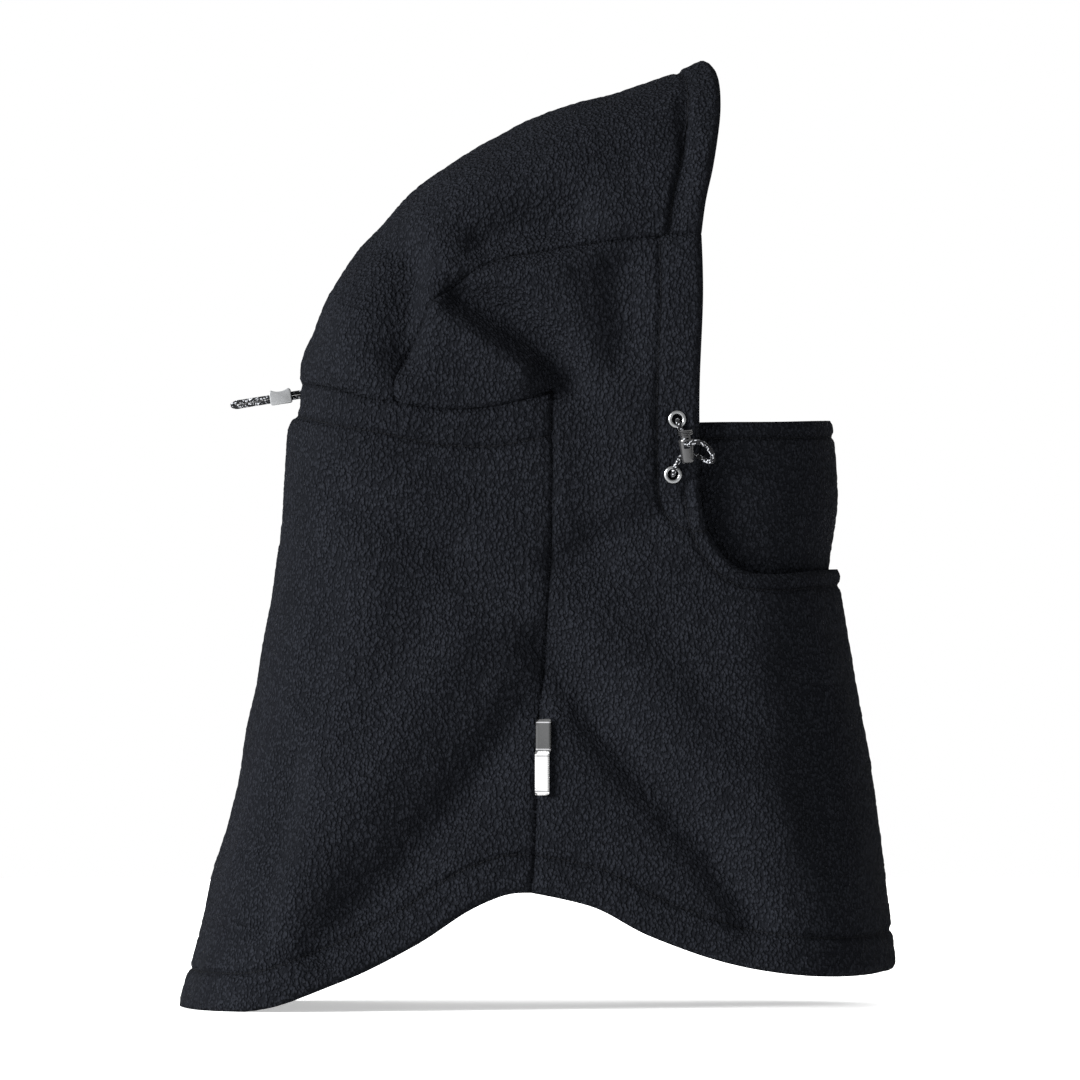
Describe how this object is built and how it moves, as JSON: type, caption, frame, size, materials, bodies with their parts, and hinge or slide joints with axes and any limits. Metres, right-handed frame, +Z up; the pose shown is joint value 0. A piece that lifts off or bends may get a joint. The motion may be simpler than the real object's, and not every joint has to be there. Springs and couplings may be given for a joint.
{
  "type": "balaclava",
  "caption": "Fleece balaclava hood with a peaked brim, a pull-down mouth mask, a shoulder bib and drawcords with push-button locks.",
  "frame": {"origin": "the middle of the wearer's head, inside the hood", "axes": "+X the way the face looks, +Y to the wearer's left, +Z up"},
  "size_m": [0.3872, 0.2152, 0.5131],
  "materials": {
    "fleece": "curly pile, matt",
    "casing_fabric": "flat knit, matt",
    "eyelet_metal": "gunmetal plating, polished",
    "cord": "braided, with pale reflective flecks",
    "lock_black": "satin moulded",
    "lock_silver": "satin moulded, silver grey",
    "spring_steel": "drawn wire",
    "label_dark": "woven satin",
    "label_white": "woven satin"
  },
  "bodies": {
    "hood": {"crown_panel": "fleece", "left_side_panel": "fleece", "right_side_panel": "fleece", "back_panel": "fleece", "left_rim_casing": "casing_fabric", "right_rim_casing": "casing_fabric", "brim_casing": "casing_fabric", "neck_casing": "casing_fabric", "left_upper_eyelet": "eyelet_metal", "left_upper_washer": "eyelet_metal", "left_lower_eyelet": "eyelet_metal", "left_lower_washer": "eyelet_metal", "right_upper_eyelet": "eyelet_metal", "right_upper_washer": "eyelet_metal", "right_lower_eyelet": "eyelet_metal", "right_lower_washer": "eyelet_metal", "face_drawcord": "cord", "left_cord_loop": "cord", "right_cord_loop": "cord", "left_neck_cord": "cord", "right_neck_cord": "cord", "neck_cord_tail": "cord", "upper_label": "label_dark", "lower_label": "label_white"},
    "mask": {"mask_panel": "fleece"},
    "left_lock": {"left_lock_body": "lock_black", "left_lock_spring": "spring_steel"},
    "left_button": {"left_lock_button": "lock_black"},
    "right_lock": {"right_lock_body": "lock_black", "right_lock_spring": "spring_steel"},
    "right_button": {"right_lock_button": "lock_black"},
    "rear_lock": {"rear_lock_body": "lock_silver", "rear_lock_spring": "spring_steel"},
    "rear_button": {"rear_lock_button": "lock_silver"}
  },
  "joints": [
    {"name": "mask_pull_down", "type": "slide", "parent": "hood", "child": "mask", "axis": [-0.1142, 0, -0.9935], "range_m": [0, 0.062]},
    {"name": "left_lock_slide", "type": "slide", "parent": "hood", "child": "left_lock", "axis": [0, 1, 0], "range_m": [0, 0.008], "deforming": ["left_cord_loop"]},
    {"name": "left_button_press", "type": "slide", "parent": "left_lock", "child": "left_button", "axis": [0.0998, 0, -0.995], "range_m": [0, 0.0018], "stiffness_N_per_m": 500, "springref_m": -0.002, "deforming": ["left_lock_spring"]},
    {"name": "right_lock_slide", "type": "slide", "parent": "hood", "child": "right_lock", "axis": [0, -1, 0], "range_m": [0, 0.008], "deforming": ["right_cord_loop"]},
    {"name": "right_button_press", "type": "slide", "parent": "right_lock", "child": "right_button", "axis": [0.0998, 0, -0.995], "range_m": [0, 0.0018], "stiffness_N_per_m": 500, "springref_m": -0.002, "deforming": ["right_lock_spring"]},
    {"name": "rear_lock_slide", "type": "slide", "parent": "hood", "child": "rear_lock", "axis": [-0.9874, 0, -0.158], "range_m": [0, 0.014]},
    {"name": "rear_button_press", "type": "slide", "parent": "rear_lock", "child": "rear_button", "axis": [0, -1, 0], "range_m": [0, 0.0018], "stiffness_N_per_m": 500, "springref_m": -0.002, "deforming": ["rear_lock_spring"]}
  ]
}
